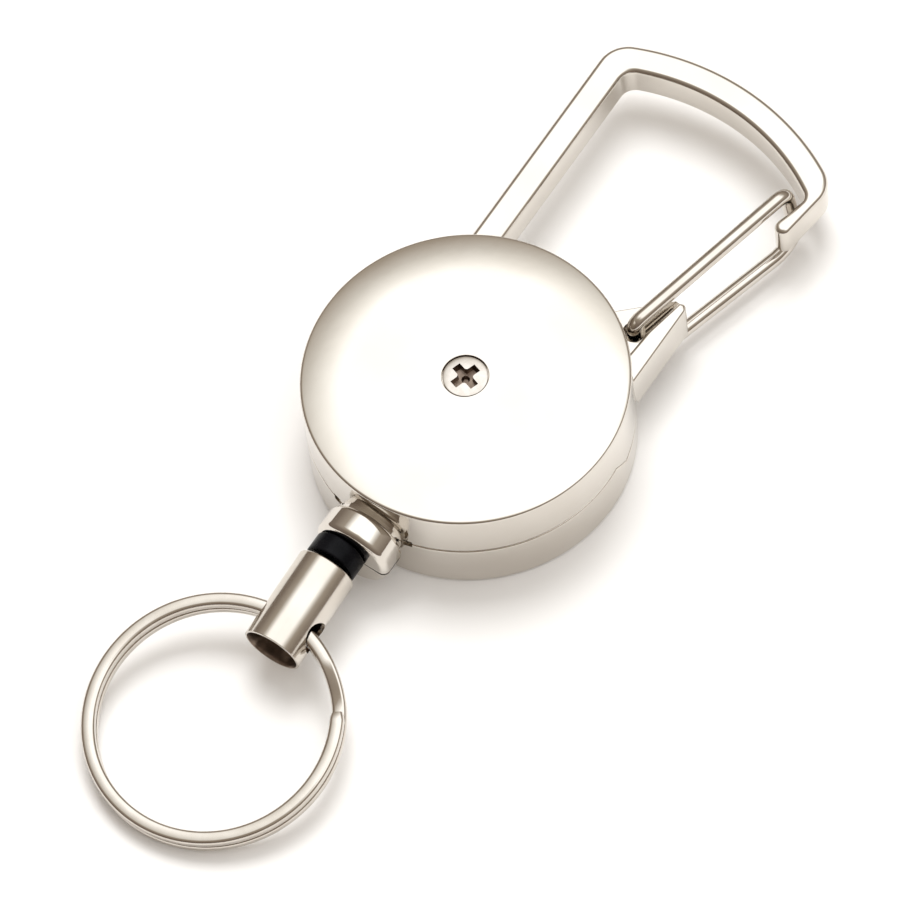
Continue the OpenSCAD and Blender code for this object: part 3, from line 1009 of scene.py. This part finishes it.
@dataclass
class Screw:
    """The cross-head screw in the middle of the front face.

    Attributes:
        case: the case that it holds together.
        head: radius of the head.
        thick: how far the head's underside is under the front face.
        sunk: how far the head's crown is under the front face.
        dome: how far the head's crown stands over its rim.
        shank: radius of the shank.
        point_edge: size of the bevel at the shank's end.
        arm: half the length and half the width of the cross recess's arms.
        fillet: radius of the recess's inner corners.
        deep: depth of the arms under the front face.
        turn: how far the cross is turned, in degrees.
    """

    case: Case
    head: float = 2.21 * MM
    thick: float = 0.95 * MM
    sunk: float = 0.02 * MM
    dome: float = 0.1 * MM
    shank: float = 1.13 * MM
    point_edge: float = 0.3 * MM
    arm: tuple[float, float] = (1.5 * MM, 0.46 * MM)
    fillet: float = 0.3 * MM
    deep: float = 0.75 * MM
    turn: float = -19.5

    def build(self) -> None:
        """Turns the screw, cuts its recess, hands it over and paints shade into the recess."""
        top, under = self.case.front - self.sunk, self.case.front - self.thick
        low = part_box("case_screw")[0][2]
        crown = [(self.head * math.cos(a), top - self.dome + self.dome * math.sin(a))
                 for a in (0.5 * math.pi * i / 14 for i in range(15))]
        bevel = self.point_edge
        section = [(0, low), (self.shank - bevel, low), (self.shank, low + bevel), (self.shank, under),
                   (self.head, under), *crown[:-1], (0, top)]
        screw = lathe("case_screw_piece", lambda _: section, Matrix.Identity(4), full_turn(72))
        combine(screw, [self.recess(), self.point()], "DIFFERENCE")
        settle(smooth(screw), "case_screw", "case", Look.SCREW)
        # Painted shade in the cross recess: its faces get the dark brown shade material.
        reach, floor, brink = self.arm[0] * 1.05, self.case.front - 1.2 * MM, self.case.front - 0.1 * MM
        darken(screw, lambda spot: math.hypot(spot.x, spot.y) < reach and floor < spot.z < brink)

    def recess(self) -> bpy.types.Object:
        """The cross recess: four arms with round inner corners, narrowing downwards.

        Returns:
            The cutter.
        """
        half, thin = self.arm
        near, fillet = thin + self.fillet, self.fillet
        outline = []
        for quarter in range(4):
            turn = math.radians(90 * quarter + self.turn)
            corner = [(half, -thin), (half, thin), *arc((near, near), fillet, 270, 180, 5)]
            outline += [(x * math.cos(turn) - y * math.sin(turn), x * math.sin(turn) + y * math.cos(turn))
                        for x, y in corner]
        top, bottom = self.case.front + 0.1 * MM, self.case.front - self.deep
        bm = bmesh.new()
        bridge(bm, [[bm.verts.new((x * scale, y * scale, z)) for x, y in outline]
                    for z, scale in ((bottom, 0.84), (top, 1.01))])
        return from_bmesh("recess", bm)

    def point(self) -> bpy.types.Object:
        """The cone in the middle of the recess.

        Returns:
            The cutter.
        """
        top, tip = self.case.front + 0.1 * MM, self.case.front - 1.15 * MM
        section = [(0, tip), (0.25 * MM, tip), (0.78 * MM, top), (0, top)]
        return lathe("point", lambda _: section, Matrix.Identity(4), full_turn(32))


# ---------------------------------------------------------------- cord end


@dataclass
class CordEnd:
    """The stopper, the end sleeve, and the crimped end of the cord inside it.

    Attributes:
        exit: the cord's way out of the case.
        wall: thickness of the sleeve.
        floor: thickness of the sleeve's closed end.
        edge: radius of the stopper's edges and of the sleeve's edge beside it.
        lip: radius of the edge at the sleeve's open end.
        brim: width of the flat rim at the open end.
        throat: how far in the bore opens towards the rim.
        cord: radius of the cord.
        ring_hole: radius of the cross hole.
    """

    exit: Exit
    wall: float = 0.4 * MM
    floor: float = 0.6 * MM
    edge: float = 0.2 * MM
    lip: float = 0.08 * MM
    brim: float = 0.22 * MM
    throat: float = 0.45 * MM
    cord: float = 0.35 * MM
    ring_hole: float = 1.63 * MM

    def __post_init__(self) -> None:
        """Reads the sleeve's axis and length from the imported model."""
        swivel = joint("sleeve_swivel")
        self.start = Vector(swivel["pos_m"])
        self.axis = Vector(swivel["axis"]).normalized()
        low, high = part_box("end_sleeve")
        self.radius: float = (high[0] - low[0]) / 2
        lean = math.asin(-self.axis.z)
        self.length: float = (high[1] - low[1] - 2 * self.radius * math.sin(lean)) / math.cos(lean)
        self.hole = Vector(joint("ring_swing")["pos_m"])

    def place(self) -> Matrix:
        """The frame whose +Z runs along the sleeve from its closed end."""
        turn = Vector((0, 0, 1)).rotation_difference(self.axis).to_matrix().to_4x4()
        return Matrix.Translation(self.start) @ turn

    def build(self) -> None:
        """Builds the stopper and the sleeve, and dresses the crimp inside."""
        self.stopper()
        self.sleeve()
        Look.CRIMP.dress_node("cord_ferrule")
        Look.ROPE.dress_node("cord_tail")

    def stopper(self) -> None:
        """A rubber ring with rounded edges."""
        low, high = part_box("stopper")
        radius = (high[0] - low[0]) / 2
        near, far, edge = -high[1], -low[1], self.edge
        bore = self.cord + 0.05 * MM
        section = [(bore, near), *arc((radius - edge, near + edge), edge, -90, 0, 7),
                   *arc((radius - edge, far - edge), edge, 0, 90, 7), (bore, far)]
        ring = lathe("stopper_piece", lambda _: section, self.exit.place(), full_turn(96))
        settle(smooth(ring, 50), "stopper", "cord_end", Look.RUBBER)

    def sleeve(self) -> None:
        """A drawn tube, closed at the cord's end, open and rolled smooth at the ring's end, with shade
        painted into its bore.
        """
        r, length, edge, lip, brim = self.radius, self.length, self.edge, self.lip, self.brim
        hole, bore = self.cord + 0.2 * MM, self.radius - self.wall
        section = [(hole, 0), *arc((r - edge, edge), edge, -90, 0, 7),
                   *arc((r - lip, length - lip), lip, 0, 90, 5), (r - brim, length),
                   (bore, length - self.throat), (bore, self.floor), (hole, self.floor)]
        tube = lathe("end_sleeve_piece", lambda _: section, self.place(), full_turn(120))
        across = Matrix.Translation(self.hole) @ Matrix.Rotation(math.radians(90), 4, "Y")
        reach = 2 * r
        cutter = lathe("ring_hole", lambda _: [(0, -reach), (self.ring_hole, -reach),
                                               (self.ring_hole, reach), (0, reach)], across, full_turn(56))
        combine(tube, [cutter], "DIFFERENCE")
        settle(smooth(tube), "end_sleeve", "swivel", Look.TUBE)
        # Painted shade in the bore: its faces get the dark brown shade material.
        home = self.place().inverted()

        def in_bore(spot: Vector) -> bool:
            """Tells whether a point is in the tube's bore."""
            local = home @ spot
            return math.hypot(local.x, local.y) < r - brim and local.z > self.floor - 0.01 * MM

        darken(tube, in_bore)


@dataclass
class SplitRing:
    """The split ring: two flat coils of one wire that crosses over at its joggle.

    Attributes:
        width: width of the wire along the ring's radius.
        thick: thickness of the wire across the ring.
        gap: gap between the coils.
        joggle: angle that the crossing takes, in degrees.
        joggle_at: where the crossing is, in degrees.
        apart: angle between the wire's end and the crossing, in degrees.
        corner: radius of the wire's edges.
        steps: segments along the wire.
    """

    width: float = 1.4 * MM
    thick: float = 1.15 * MM
    gap: float = 0.06 * MM
    joggle: float = 26
    joggle_at: float = 52
    apart: float = 2
    corner: float = 0.36 * MM
    steps: int = 340

    def build(self) -> None:
        """Sweeps the wire round twice and hands it over."""
        low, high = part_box("split_ring")
        hole = Vector(joint("ring_swing")["pos_m"])
        outer = (high[0] - low[0]) / 2
        centre = Vector(((low[0] + high[0]) / 2, (low[1] + high[1]) / 2, (low[2] + high[2]) / 2))
        mean = outer - self.width / 2
        reach = hole - centre
        tilt = math.asin(reach.z / reach.length)
        yaw = math.atan2(-reach.x, reach.y)
        place = (Matrix.Translation(centre) @ Matrix.Rotation(yaw, 4, "Z") @ Matrix.Rotation(tilt, 4, "X")
                 @ Matrix.Rotation(math.radians(self.joggle_at + self.joggle / 2), 4, "Z"))
        ring = self.coil(mean, place)
        settle(smooth(ring, 50), "split_ring", "ring", Look.WIRE)

    def level(self, turn: float) -> float:
        """Height of the wire at an angle along it, in degrees."""
        half = (self.thick + self.gap) / 2
        start = 360 - self.joggle
        if turn < start or turn > 360:
            return -half if turn < start else half
        s = (turn - start) / self.joggle
        return -half + 2 * half * s * s * (3 - 2 * s)

    def wire_section(self) -> list[Point2]:
        """The wire's section, a flat bar with well rounded edges."""
        w, t, c = self.width / 2 - self.corner, self.thick / 2 - self.corner, self.corner
        return [*arc((w, t), c, 0, 90, 5), *arc((-w, t), c, 90, 180, 5),
                *arc((-w, -t), c, 180, 270, 5), *arc((w, -t), c, 270, 360, 5)]

    def coil(self, mean: float, place: Matrix) -> bpy.types.Object:
        """Two turns of the wire.

        Args:
            mean: radius of the wire's middle.
            place: takes the flat ring to its place.

        Returns:
            The coil.
        """
        bm = bmesh.new()
        section = self.wire_section()
        last = 720 - self.joggle - self.apart
        tapered = {0: 0.72, 1: 0.93}
        rings = []
        for i in range(self.steps + 1):
            turn = last * i / self.steps
            a, z = math.radians(turn), self.level(turn)
            shrink = tapered.get(min(i, self.steps - i), 1.0)
            spots = [(mean + u * shrink, z + v * shrink) for u, v in section]
            rings.append([bm.verts.new(place @ Vector((out * math.cos(a), out * math.sin(a), up)))
                          for out, up in spots])
        bridge(bm, rings)
        return from_bmesh("split_ring_piece", bm)


# ---------------------------------------------------------------- reel


@dataclass
class Reel:
    """What turns and pulls inside the case: spool, spring and cord.

    Attributes:
        exit: the cord's way out of the case.
        cord: radius of the cord.
        hub_over: how far the groove's bottom is outside the spring's cover.
    """

    exit: Exit
    cord: float = 0.35 * MM
    hub_over: float = 0.83 * MM

    def build(self) -> None:
        """Dresses the pieces inside and makes the cord's turns and its lead."""
        Look.SPOOL.dress_node("spool")
        Look.SPRING.dress_node("power_spring")
        Look.SPRING.dress_node("spring_cover")
        Look.SLIDE.dress_node("exit_bush")
        Look.SLIDE.dress_node("spool_washer")
        Look.CRIMP.dress_node("cord_anchor")
        self.winding()
        self.lead()

    def winding(self) -> None:
        """The cord's turns on the spool, laid by a node tree in whole layers and made a plain mesh."""
        low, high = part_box("cord_winding")
        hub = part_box("spring_cover")[1][0] + self.hub_over
        width, outer = high[2] - low[2], high[0]
        per_layer = round(width / (2 * self.cord))
        layers = round((outer - hub) / (2 * self.cord))
        base = bpy.data.meshes.new("cord_turns")
        turns = new_object("cord_turns", base)
        tree = self.winding_tree()
        modifier = turns.modifiers.new("turns", "NODES")
        modifier.node_group = tree
        values = {"Turns": per_layer * layers, "Per layer": per_layer, "Hub": hub + self.cord,
                  "Pitch": 2 * self.cord, "Low": low[2] + self.cord, "Wire": self.cord * 0.97}
        for item in tree.interface.items_tree:
            if item.item_type == "SOCKET" and item.in_out == "INPUT" and item.name in values:
                modifier[item.identifier] = values[item.name]
        bake(turns)
        settle(smooth(turns, 60), "cord_winding", "reel", Look.ROPE)

    def winding_tree(self) -> bpy.types.NodeTree:
        """The node tree that lays round turns side by side, layer upon layer.

        Returns:
            The node group.
        """
        tree = bpy.data.node_groups.new("cord_turns", "GeometryNodeTree")
        face = tree.interface
        face.new_socket("Geometry", in_out="INPUT", socket_type="NodeSocketGeometry")
        for name, kind in (("Turns", "NodeSocketInt"), ("Per layer", "NodeSocketInt"),
                           ("Hub", "NodeSocketFloat"), ("Pitch", "NodeSocketFloat"),
                           ("Low", "NodeSocketFloat"), ("Wire", "NodeSocketFloat")):
            face.new_socket(name, in_out="INPUT", socket_type=kind)
        face.new_socket("Geometry", in_out="OUTPUT", socket_type="NodeSocketGeometry")
        add = tree.nodes.new
        link = tree.links.new
        given = add("NodeGroupInput").outputs
        row = add("GeometryNodePoints")
        link(given["Turns"], row.inputs["Count"])
        index = add("GeometryNodeInputIndex").outputs[0]
        layer = math_node(tree, "FLOOR", math_node(tree, "DIVIDE", index, given["Per layer"]))
        place = math_node(tree, "MODULO", index, given["Per layer"])
        rise = math_node(tree, "MULTIPLY", place, given["Pitch"])
        height = math_node(tree, "ADD", given["Low"], rise)
        swell = math_node(tree, "MULTIPLY", layer, given["Pitch"])
        radius = math_node(tree, "ADD", given["Hub"], swell)
        offset = add("ShaderNodeCombineXYZ")
        link(height, offset.inputs["Z"])
        moved = add("GeometryNodeSetPosition")
        link(row.outputs[0], moved.inputs["Geometry"])
        link(offset.outputs[0], moved.inputs["Position"])
        ring = add("GeometryNodeCurvePrimitiveCircle")
        ring.inputs["Resolution"].default_value = 96
        ring.inputs["Radius"].default_value = 1.0
        copies = add("GeometryNodeInstanceOnPoints")
        link(moved.outputs[0], copies.inputs["Points"])
        link(ring.outputs[0], copies.inputs["Instance"])
        size = add("ShaderNodeCombineXYZ")
        link(radius, size.inputs["X"])
        link(radius, size.inputs["Y"])
        size.inputs["Z"].default_value = 1.0
        link(size.outputs[0], copies.inputs["Scale"])
        real = add("GeometryNodeRealizeInstances")
        link(copies.outputs[0], real.inputs[0])
        section = add("GeometryNodeCurvePrimitiveCircle")
        section.inputs["Resolution"].default_value = 10
        link(given["Wire"], section.inputs["Radius"])
        tube = add("GeometryNodeCurveToMesh")
        link(real.outputs[0], tube.inputs["Curve"])
        link(section.outputs[0], tube.inputs["Profile Curve"])
        paint = add("GeometryNodeSetMaterial")
        paint.inputs["Material"].default_value = Look.ROPE.value.material()
        link(tube.outputs[0], paint.inputs["Geometry"])
        link(paint.outputs[0], add("NodeGroupOutput").inputs[0])
        return tree

    def lead(self) -> None:
        """The cord from the spool through the exit bush."""
        low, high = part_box("cord_lead")
        bush = -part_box("exit_bush")[1][1]
        z = self.exit.height
        mouth = Vector((self.exit.across - 0.45 * MM, -bush - 0.2 * MM, z))
        corners = [Vector((low[0] + 0.27 * MM, high[1] - 0.25 * MM, z)), mouth,
                   Vector((self.exit.across, -bush - 1.6 * MM, z)), Vector((self.exit.across, low[1], z))]
        path = rounded_path(corners, 0.6 * MM, 8, 0.25 * MM)
        cord = sweep("cord_lead_piece", path, circle(self.cord, 16), Vector((0, 0, 1)))
        smooth(cord, 60)
        Look.ROPE.dress(cord)
        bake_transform(cord)
        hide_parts("cord_lead")
        LOG.info("cord_lead_piece: %d faces from case to cord_end", len(cord.data.polygons))


# ---------------------------------------------------------------- studio


@dataclass
class Studio:
    """Camera, floor and light.

    Attributes:
        azimuth: direction of the camera round the object, in degrees.
        elevation: its height over the table, in degrees.
        roll: how far it is turned about its own axis, in degrees.
        distance: how far it is from its target.
        lens: focal length, in millimetres.
        target: the point that it looks at, in metres.
        lean: how far the ceiling's bright parts are from overhead, away from the camera and to its right.
        ceiling: the ceiling's colours at angles from its bright part, in degrees.
        table: half the side of the table, in metres.
        glow: how much the table shines for the camera and in mirroring metal.
    """

    azimuth: float = 40
    elevation: float = 60.77
    roll: float = -7.91
    distance: float = 1.1673
    lens: float = 480
    target: tuple[float, float, float] = (-1.111 * MM, -2.467 * MM, 0)
    lean: tuple[tuple[float, float], ...] = ((17, 5), (-2, 27))
    ceiling: tuple[tuple[float, tuple[float, float, float]], ...] = (
        (15, (1.75, 1.75, 1.75)),
        (19, (1.38, 1.37, 1.33)),
        (25.5, (0.86, 0.83, 0.78)),
        (32, (0.50, 0.44, 0.37)),
        (45, (0.40, 0.345, 0.29)),
        (62, (0.27, 0.22, 0.18)),
        (90, (0.20, 0.16, 0.13)),
    )
    table: float = 1.5
    glow: float = 0.08

    def build(self) -> None:
        """Sets up the camera, the floor, the world and the lamps."""
        self.camera()
        self.floor()
        self.world()
        self.lamps()
        bpy.context.scene.view_settings.view_transform = "Standard"

    def camera(self) -> None:
        """Places the camera on its target."""
        a, e, r = (math.radians(v) for v in (self.azimuth, self.elevation, self.roll))
        back = Vector((math.sin(a) * math.cos(e), -math.cos(a) * math.cos(e), math.sin(e)))
        level = Vector((math.cos(a), math.sin(a), 0))
        rise = back.cross(level)
        right = level * math.cos(r) + rise * math.sin(r)
        up = rise * math.cos(r) - level * math.sin(r)
        data = bpy.data.cameras.new("camera")
        data.lens = self.lens
        data.sensor_width = 36
        data.clip_start, data.clip_end = 0.01, 20
        camera = bpy.data.objects.new("camera", data)
        turn = Matrix((right, up, back)).transposed().to_4x4()
        camera.matrix_world = Matrix.Translation(Vector(self.target) + back * self.distance) @ turn
        bpy.context.scene.collection.objects.link(camera)
        bpy.context.scene.camera = camera

    def floor(self) -> None:
        """A wide white table that keeps the object's shadow."""
        bm = bmesh.new()
        corners = ((-1, -1), (1, -1), (1, 1), (-1, 1))
        bm.faces.new([bm.verts.new((x * self.table, y * self.table, 0)) for x, y in corners])
        mesh = bpy.data.meshes.new("table")
        bm.to_mesh(mesh)
        bm.free()
        table = new_object("table", mesh)
        material = bpy.data.materials.new("table_white")
        material.use_nodes = True
        tree = material.node_tree
        shader = tree.nodes["Principled BSDF"]
        shader.inputs["Base Color"].default_value = (0.90, 0.895, 0.885, 1)
        shader.inputs["Roughness"].default_value = 0.9
        shader.inputs["Specular IOR Level"].default_value = 0.1
        shader.inputs["Emission Color"].default_value = (1, 1, 1, 1)
        path = tree.nodes.new("ShaderNodeLightPath").outputs
        seen = math_node(tree, "MAXIMUM", path["Is Camera Ray"], path["Is Glossy Ray"])
        tree.links.new(math_node(tree, "MULTIPLY", seen, self.glow), shader.inputs["Emission Strength"])
        mesh.materials.append(material)

    def world(self) -> None:
        """A white surround for the camera, and a bright ceiling over a dim room for everything else."""
        world = bpy.data.worlds.new("studio")
        bpy.context.scene.world = world
        world.use_nodes = True
        tree = world.node_tree
        tree.nodes.clear()
        way = tree.nodes.new("ShaderNodeTexCoord").outputs["Generated"]
        a = math.radians(self.azimuth)
        parts = []
        for lean in self.lean:
            away, aside = (math.tan(math.radians(angle)) for angle in lean)
            bright = Vector((aside * math.cos(a) - away * math.sin(a),
                             aside * math.sin(a) + away * math.cos(a), 1))
            toward = tree.nodes.new("ShaderNodeVectorMath")
            toward.operation = "DOT_PRODUCT"
            toward.inputs[1].default_value = bright.normalized()
            tree.links.new(way, toward.inputs[0])
            parts.append(toward.outputs["Value"])
        turn = math_node(tree, "ARCCOSINE", math_node(tree, "MAXIMUM", *parts))
        share = math_node(tree, "DIVIDE", turn, math.pi / 2)
        ramp = tree.nodes.new("ShaderNodeValToRGB")
        elements = ramp.color_ramp.elements
        while len(elements) < len(self.ceiling):
            elements.new(0.5)
        for element, (angle, colour) in zip(elements, self.ceiling):
            element.position = angle / 90
            element.color = (*colour, 1)
        tree.links.new(share, ramp.inputs["Fac"])
        room = tree.nodes.new("ShaderNodeBackground")
        tree.links.new(ramp.outputs["Color"], room.inputs["Color"])
        white = tree.nodes.new("ShaderNodeBackground")
        white.inputs["Color"].default_value = (1, 1, 1, 1)
        choose = tree.nodes.new("ShaderNodeMixShader")
        tree.links.new(tree.nodes.new("ShaderNodeLightPath").outputs["Is Camera Ray"], choose.inputs["Fac"])
        tree.links.new(room.outputs[0], choose.inputs[1])
        tree.links.new(white.outputs[0], choose.inputs[2])
        tree.links.new(choose.outputs[0], tree.nodes.new("ShaderNodeOutputWorld").inputs["Surface"])

    def lamps(self) -> None:
        """A key light from behind on the left and a weaker fill, neither of which metal mirrors."""
        self.lamp("key", (-0.25, 0.36, 1.0), 0.55, 7.0)
        self.lamp("fill", (0.35, -0.3, 1.1), 1.0, 1.5)

    def lamp(self, name: str, spot: tuple[float, float, float], size: float, power: float) -> None:
        """Adds a square soft lamp aimed at the object.

        Args:
            name: name of the lamp.
            spot: its place, in metres.
            size: its side, in metres.
            power: its power, in watts.
        """
        data = bpy.data.lights.new(name, "AREA")
        data.shape, data.size, data.energy = "SQUARE", size, power
        lamp = bpy.data.objects.new(name, data)
        lamp.location = spot
        lamp.rotation_euler = (-Vector(spot)).to_track_quat("-Z", "Y").to_euler()
        lamp.visible_glossy = False
        bpy.context.scene.collection.objects.link(lamp)


def main() -> None:
    """Builds the studio and every piece of the reel, and reports them."""
    logging.basicConfig(level=logging.INFO, format="%(name)s %(message)s")
    Studio().build()
    case = Case()
    carabiner = Carabiner(case)
    gate = Gate(carabiner)
    build_case(case, carabiner, gate)
    gate.build()
    Screw(case).build()
    CordEnd(case.exit).build()
    SplitRing().build()
    Reel(case.exit).build()


if __name__ == "__main__":
    main()
